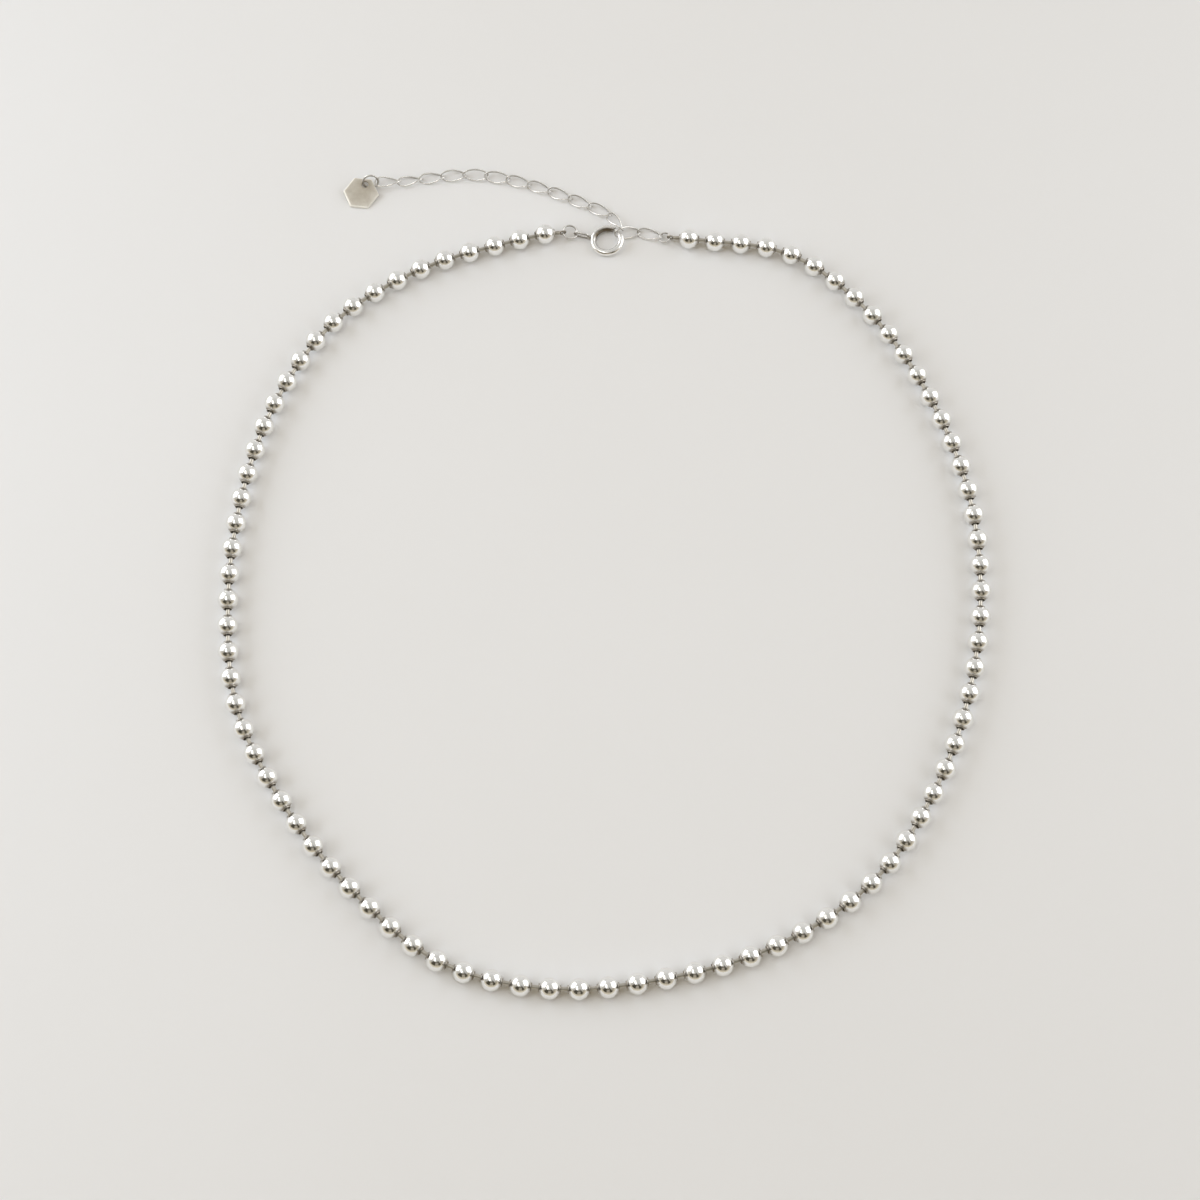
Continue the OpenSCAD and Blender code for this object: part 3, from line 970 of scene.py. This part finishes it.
@dataclass
class Extender:
    """The chain of twisted oval links from the tag's ring to the ring at the right end."""

    length: float = 3.8
    width: float = 1.64
    wire: float = 0.24
    twist: float = 45.0
    bluntness: float = 0.75
    around: int = 56
    sides: int = 12
    rolls: tuple[float, ...] = (-15, 0, 15, 35, 20, 5, 0, 0, 0, 0)
    joint_points: tuple[tuple[float, float], ...] = (
        (-35.5, 65.3), (-28.9, 66.8), (-22.4, 67.7), (-15.8, 67.2), (-9.6, 65.5), (-3.7, 63.2), (-0.4, 61.8),
    )  # fmt: skip
    first: tuple[Triple, Triple] = ((-34, 65.9, 0.95), (-12, 5, 7))
    held: tuple[tuple[Triple, Triple], ...] = (
        ((0.5, 60.3, 0.9), (-24, -10, -55)),
        ((2.3, 58.7, 0.6), (24, 7, 12)),
        ((5.7, 58.6, 0.45), (0, 0, -10)),
    )

    def middle_line(self, count: int) -> Array:
        """A link's middle line along X, an oval twisted one way at one end and back at the other.

        At t once round, x = L/2 cos t, and the half width W/2 sin t, made blunter by the power
        of its size, is turned about X by -twist cos t.
        """
        t = once_round(count)
        half = self.width / 2 * np.sign(np.sin(t)) * np.abs(np.sin(t)) ** self.bluntness
        turn = np.radians(-self.twist * np.cos(t))
        return np.stack([self.length / 2 * np.cos(t), half * np.cos(turn), half * np.sin(turn)], axis=-1)

    def shape(self) -> Array:
        """Skin of one link: the wire swept round its middle line, evenly spaced."""
        fine = self.middle_line(720)
        ring = even_points(np.vstack([fine, fine[:1]]), self.around + 1)[:-1]
        smooth = (np.roll(ring, 1, axis=0) + 6 * ring + np.roll(ring, -1, axis=0)) / 8
        return swept(smooth, smooth + [1e-6, 0.0, 0.0], self.wire / 2, self.sides, True)

    def rest_z(self, roll: float) -> float:
        """Height of a link's middle when it lies on the floor with a roll."""
        p = self.middle_line(144)
        return self.wire / 2 - float(np.min(p[:, 1] * sin(radians(roll)) + p[:, 2] * cos(radians(roll))))

    def poses(self) -> list[tuple[Array, Triple]]:
        """Middle and turns of every link, from the tag to the right ring."""
        joints = even_points(spline(np.array(self.joint_points, float)), len(self.rolls) + 2)[1:]
        steps = np.diff(joints, axis=0)
        lying = [
            (np.array([*((a + b) / 2), self.rest_z(roll)]), (roll, 0.0, degrees(atan2(step[1], step[0]))))
            for a, b, step, roll in zip(joints[:-1], joints[1:], steps, self.rolls)
        ]
        return [self.first, *lying, *self.held]

    def build(self, finish: bpy.types.Material) -> None:
        """Make one piece for each link, darker at its ends, where it bears on its neighbours, and with painted shade on
        its sides and underside.
        """
        shape = self.shape()
        tarnish_and_shade = 0.5 * np.clip(np.abs(shape.mean(axis=1)[:, 0]) / (self.length / 2) * 4 - 3, 0.0, 1.0)
        for number, (at, turn) in enumerate(self.poses(), start=1):
            skin = Skin()
            wire = placed(shape, turn, at)
            # Painted shade on the link's sides and underside, with its ends darker.
            skin.add(wire, True, True, np.maximum(tarnish_and_shade[:, None], painted_underside_shade(wire)), inside_out=True)
            skin.piece(f"link_{number:02d}", finish)


@dataclass
class Tag:
    """The blank six-sided plate, with eased corners, a bevelled edge and one hole."""

    across: float = 5.4
    thickness: float = 0.35
    hole_r: float = 0.5
    hole_at: tuple[float, float] = (0.45, 1.4)
    slope: float = 8.0
    turn: float = -4.0
    corner_r: float = 0.22
    bevel: float = 0.1
    rim: float = 0.05
    per_side: int = 14

    @property
    def at(self) -> Array:
        """Middle of the plate, whose near edge rests on the floor."""
        lean = radians(self.slope)
        return np.array([-37.92, 63.99, self.across / 2 * cos(pi / 6) * sin(lean) + self.thickness / 2 * cos(lean)])

    def outline(self) -> Array:
        """Six-sided outline with round corners.

        Each corner is an arc of corner_r about a point on the line to the corner, and each side
        is a straight run between two arcs.
        """
        corner = np.arange(6) * pi / 3
        centre_r = self.across / 2 - self.corner_r / cos(pi / 6)
        swing = np.linspace(-pi / 6, pi / 6, 5)
        turn = corner[:, None] + swing[None, :]
        arcs = centre_r * np.stack([np.cos(corner), np.sin(corner)], axis=-1)[:, None, :]
        arcs = arcs + self.corner_r * np.stack([np.cos(turn), np.sin(turn)], axis=-1)
        share = (np.arange(1, self.per_side) / self.per_side)[None, :, None]
        sides = arcs[:, -1:, :] * (1 - share) + np.roll(arcs, -1, axis=0)[:, :1, :] * share
        return np.concatenate([arcs, sides], axis=1).reshape(-1, 2)

    def build(self, finish: bpy.types.Material) -> None:
        """Carry a closed section from the hole out over the top, round the edge and back below.

        At a point of the outline, the section runs along the ray from the hole's middle: a share s
        from the hole's wall to the edge, in by the bevel and down where the bevel or the rim says.
        """
        outline = self.outline()
        hole = np.array(self.hole_at)
        ray = outline - hole
        reach = np.linalg.norm(ray, axis=1, keepdims=True)
        ray = ray / reach
        half = self.thickness / 2
        corners = (eased(size, 4) for size in (self.rim, self.bevel))
        rim, edge = (np.column_stack([inward, half - down]) for down, inward in corners)
        rim = rim[::-1]
        from_hole = self.hole_r + rim[None, :, 0]
        flat = np.linspace(0.0, 1.0, 12)[None, 1:-1]
        inner, outer = self.hole_r + self.rim, reach - self.bevel
        near = np.repeat(from_hole, len(reach), axis=0)
        across = np.hstack([near, inner + (outer - inner) * flat, reach - edge[None, :, 0]])
        height = np.concatenate([rim[:, 1], np.full(10, half), edge[:, 1]])
        top = hole + across[..., None] * ray[:, None, :]
        top = np.concatenate([top, np.broadcast_to(height[None, :, None], across.shape + (1,))], axis=-1)
        bottom = top[:, ::-1] * [1.0, 1.0, -1.0]
        # Painted shade: the flats are darkened, most by the hole and less towards the edge, and the bevel is left
        # bright.
        wear_and_shade = np.concatenate([[0.9] * 4, np.linspace(0.85, 0.55, 10), [0.0] * 4])
        skin = Skin()
        grid = placed(np.concatenate([top, bottom], axis=1), (self.slope, 0.0, self.turn), self.at)
        skin.add(grid, True, True, np.concatenate([wear_and_shade, wear_and_shade[::-1]]), inside_out=True)
        skin.piece("tag", finish, Slot.SATIN)


# ---------------------------------------------------------------- the studio


# Kinds of ray that a stage object may be hidden from
ALL_BUT_MIRRORED = ("camera", "diffuse", "shadow", "transmission", "volume_scatter")
ALL_BUT_CAMERA = ("diffuse", "glossy", "shadow", "transmission", "volume_scatter")


def direction(azimuth: Array | float, elevation: Array | float) -> Array:
    """Unit vectors (sin az cos el, cos az cos el, sin el), from degrees; azimuth 0 is +Y and 90 is +X."""
    az, el = np.broadcast_arrays(np.radians(azimuth), np.radians(elevation))
    return np.stack([np.sin(az) * np.cos(el), np.cos(az) * np.cos(el), np.sin(el)], axis=-1)


def staged(name: str, grid: Array, finish: bpy.types.Material, hidden: tuple[str, ...] = ()) -> None:
    """Make a grid into a stage object.

    Args:
        name: the object's name.
        grid: points in metres, rows x columns x 3.
        finish: its material.
        hidden: the kinds of ray that don't see it.
    """
    rows, columns, _ = grid.shape
    i, j = np.arange(rows - 1)[:, None], np.arange(columns - 1)[None, :]
    first = (i * columns + j).reshape(-1)
    mesh = bpy.data.meshes.new(name)
    mesh.from_pydata(grid.reshape(-1, 3), [], np.column_stack([first, first + columns, first + columns + 1, first + 1]))
    mesh.shade_smooth()
    mesh.materials.append(finish)
    made = in_scene(name, mesh)
    for kind in hidden:
        setattr(made, "visible_" + kind, False)


@dataclass(frozen=True)
class SoftBox:
    """Area light that faces the choker, at an azimuth where 0 is behind it and 90 is right.

    Distance and size are in metres. The power is pi times the area times the radiance.
    """

    name: str
    azimuth: float
    elevation: float
    distance: float
    size: tuple[float, float]
    radiance: float
    colour: Triple
    reach: Rays

    def build(self) -> None:
        """Make the light. The camera never sees it; mirrors, matt surfaces or both do."""
        width, height = self.size
        data = bpy.data.lights.new(self.name, "AREA")
        data.shape, data.size, data.size_y = "RECTANGLE", width, height
        data.energy, data.color = pi * width * height * self.radiance, self.colour
        light = in_scene(self.name, data)
        out = direction(self.azimuth, self.elevation)
        side = unit(np.cross([0.0, 0.0, 1.0], out))
        axes = Matrix(np.column_stack([side, np.cross(out, side), out]).tolist()).to_4x4()
        light.matrix_world = Matrix.Translation(AIM + out * self.distance) @ axes
        light.visible_camera = False
        light.visible_diffuse = self.reach is not Rays.MIRRORED
        light.visible_glossy = self.reach is not Rays.MATT


@dataclass(frozen=True)
class Card:
    """Curved card that only reflections see, a patch of a sphere about the choker.

    At a share u across, from -1/2 to 1/2, and v up, the azimuth is the middle one plus u times
    the width, drawn in by the pinch towards the top, and the elevation runs evenly.
    """

    name: str
    azimuths: tuple[float, float]
    elevations: tuple[float, float]
    pinch: float
    colour: Triple
    distance: float = 0.7

    def build(self) -> None:
        """Make the card."""
        u = np.linspace(-0.5, 0.5, 17)[:, None]
        v = np.linspace(0.0, 1.0, 13)[None, :]
        (left, right), (low, high) = self.azimuths, self.elevations
        azimuth = (left + right) / 2 + u * (right - left) * (1 - self.pinch * v**2)
        grid = AIM + self.distance * direction(azimuth, low + (high - low) * v)
        staged(self.name, grid, Glow(self.name, self.colour).material(), ALL_BUT_MIRRORED)


@dataclass
class Studio:
    """Floor, soft lights, cards for the reflections, and the camera."""

    elevation: float = 69.2
    distance: float = 0.3239
    roll: float = 1.87
    lens: float = 69.0
    sensor: float = 36.0
    ambient: Triple = (0.235, 0.162, 0.05)
    room_r: float = 0.9
    before: Triple = (0.33, 0.29, 0.22)
    behind: Triple = (0.70, 0.69, 0.67)
    ceiling: Triple = (0.56, 0.55, 0.52)
    cloth: Triple = (0.60, 0.54, 0.42)
    floor_half: float = 2.5
    backdrop_r: float = 2.3
    boxes: tuple[SoftBox, ...] = (
        SoftBox("soft_box_left", -62.0, 23.0, 0.6, (0.52, 0.48), 1.7, (0.98, 0.99, 1.0), Rays.MIRRORED),
        SoftBox("soft_box_right", 70.0, 28.0, 0.6, (0.54, 0.56), 1.7, (0.98, 0.99, 1.0), Rays.MIRRORED),
        SoftBox("wall_left", -84.0, 25.0, 0.45, (0.58, 0.40), 2.65, (0.86, 0.935, 1.05), Rays.MATT),
        SoftBox("wall_right", 84.0, 26.0, 0.45, (0.60, 0.44), 1.80, (0.86, 0.935, 1.05), Rays.MATT),
        SoftBox("ceiling", 0.0, 85.0, 0.6, (0.40, 0.40), 1.40, (0.91, 0.955, 1.04), Rays.MATT),
        SoftBox("strip_overhead", -100.0, 69.0, 0.6, (0.42, 0.16), 1.5, (1.0, 0.98, 0.94), Rays.ALL),
    )
    cards: tuple[Card, ...] = (
        Card("card_left", (195.0, 238.0), (18.0, 58.0), 0.0, (0.055, 0.048, 0.033)),
        Card("card_right", (136.0, 162.0), (16.0, 72.0), 0.4, (0.055, 0.048, 0.033)),
        Card("card_middle", (161.0, 195.0), (46.0, 62.0), 0.0, (0.16, 0.14, 0.105)),
    )

    def camera(self) -> None:
        """Camera on the viewer's side of the choker, above it, with the photograph's slight roll."""
        data = bpy.data.cameras.new("camera")
        data.lens, data.sensor_width, data.clip_start = self.lens, self.sensor, 0.01
        camera = in_scene("camera", data)
        place = AIM + direction(180.0, self.elevation) * self.distance
        tip = Matrix.Rotation(radians(90.0 - self.elevation), 4, "X")
        camera.matrix_world = Matrix.Translation(place) @ tip @ Matrix.Rotation(radians(self.roll), 4, "Z")
        bpy.context.scene.camera = camera

    def floor(self) -> None:
        """Flat floor at height 0, and far off a round wall of it that only the camera sees."""
        across = np.linspace(-self.floor_half, self.floor_half, 5)
        x, y = np.meshgrid(across, across, indexing="ij")
        pale = PaleFloor().material()
        staged("floor", np.stack([x, y, np.zeros_like(x)], axis=-1), pale)
        turn, z = np.meshgrid(np.linspace(0.0, 2 * pi, 65), np.linspace(0.0, self.backdrop_r, 5), indexing="ij")
        wall = np.stack([self.backdrop_r * np.cos(turn), self.backdrop_r * np.sin(turn), z], axis=-1)
        staged("backdrop", wall, pale, ALL_BUT_CAMERA)

    def surroundings(self) -> None:
        """Dim warm light from all round, and the far room that the reflections see instead of it.

        The room is a sphere about the aim, from just below the floor to straight above.
        """
        world = bpy.data.worlds.new("room")
        bench = bench_on(world)
        back = bench.node("Background", {"Color": (*self.ambient, 1.0), "Strength": 1.0})
        bench.show(back, "ShaderNodeOutputWorld")
        bpy.context.scene.world = world
        grid = direction(np.linspace(0.0, 360.0, 49)[:, None], np.linspace(-3.0, 90.0, 25)[None, :])
        finish = RoomGlow(self.room_r, self.before, self.behind, self.ceiling, self.cloth).material()
        staged("far_room", AIM + self.room_r * grid, finish, ALL_BUT_MIRRORED)

    def build(self) -> None:
        """Set up the whole studio."""
        self.camera()
        self.floor()
        self.surroundings()
        for lit in (*self.boxes, *self.cards):
            lit.build()
        view = bpy.context.scene.view_settings
        view.view_transform, view.look, view.exposure, view.gamma = "Standard", "None", 0.0, 1.0


def main() -> None:
    """Build the studio and every piece in order."""
    logging.basicConfig(level=logging.INFO, format="%(name)s: %(message)s")
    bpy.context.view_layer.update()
    Studio().build()
    LOG.info("studio built")
    bead = Silver("bead_silver", (0.95, 0.945, 0.93), (0.20, 0.165, 0.115), 0.15, 0.05, 1.4, 0.12, 0.08)
    wire = Silver("wire_silver", (0.95, 0.94, 0.92), (0.15, 0.12, 0.08), 0.20, 0.08, 0.9, 0.10, 0.10)
    # The bars' and end pins' silver is darker than the beads': partly a duller tone of its own, partly painted shade
    # for the beads' shadow on them.
    wear_and_shade = Silver("bar_silver", (0.58, 0.55, 0.49), (0.17, 0.14, 0.095), 0.28, 0.08, 0.9, 0.10, 0.10)
    satin = Silver(
        "tag_satin_silver", (0.95, 0.92, 0.86), (0.42, 0.37, 0.29), 0.34, 0.12, 1.2, 0.35, 0.35, (1.0, 9.0, 1.0), 0.2
    )
    polished, drawn, darker_silver, brushed = bead.material(), wire.material(), wear_and_shade.material(), satin.material()
    line = StringLine()
    middles = line.middles()
    Beads(line).build(polished)
    Bars(line).build(darker_silver)
    EndPin("end_pin_left", middles[-1], line.left_eye).build(darker_silver)
    EndPin("end_pin_right", middles[0], line.right_eye).build(darker_silver)
    JumpRing("jump_ring_left", (-6.25, 58.35, 0.79), (0.0, 8.3, 0.0), 2.2, 0.26, 250.0, far=1.0).build(drawn)
    JumpRing("jump_ring_right", (7.9, 58.05, 0.63), (0.0, -13.5, 0.0), 1.6, 0.24, 285.0, far=1.0).build(drawn)
    Clasp().build(drawn)
    Extender().build(drawn)
    ring_z = (2.3 * sin(radians(72.0)) + 0.3) / 2
    JumpRing("tag_ring", (-36.55, 65.65, ring_z), (72.0, 0.0, 8.0), 2.3, 0.3, 55.0).build(drawn)
    Tag().build(brushed)
    LOG.info("boxes written")


if __name__ == "__main__":
    main()
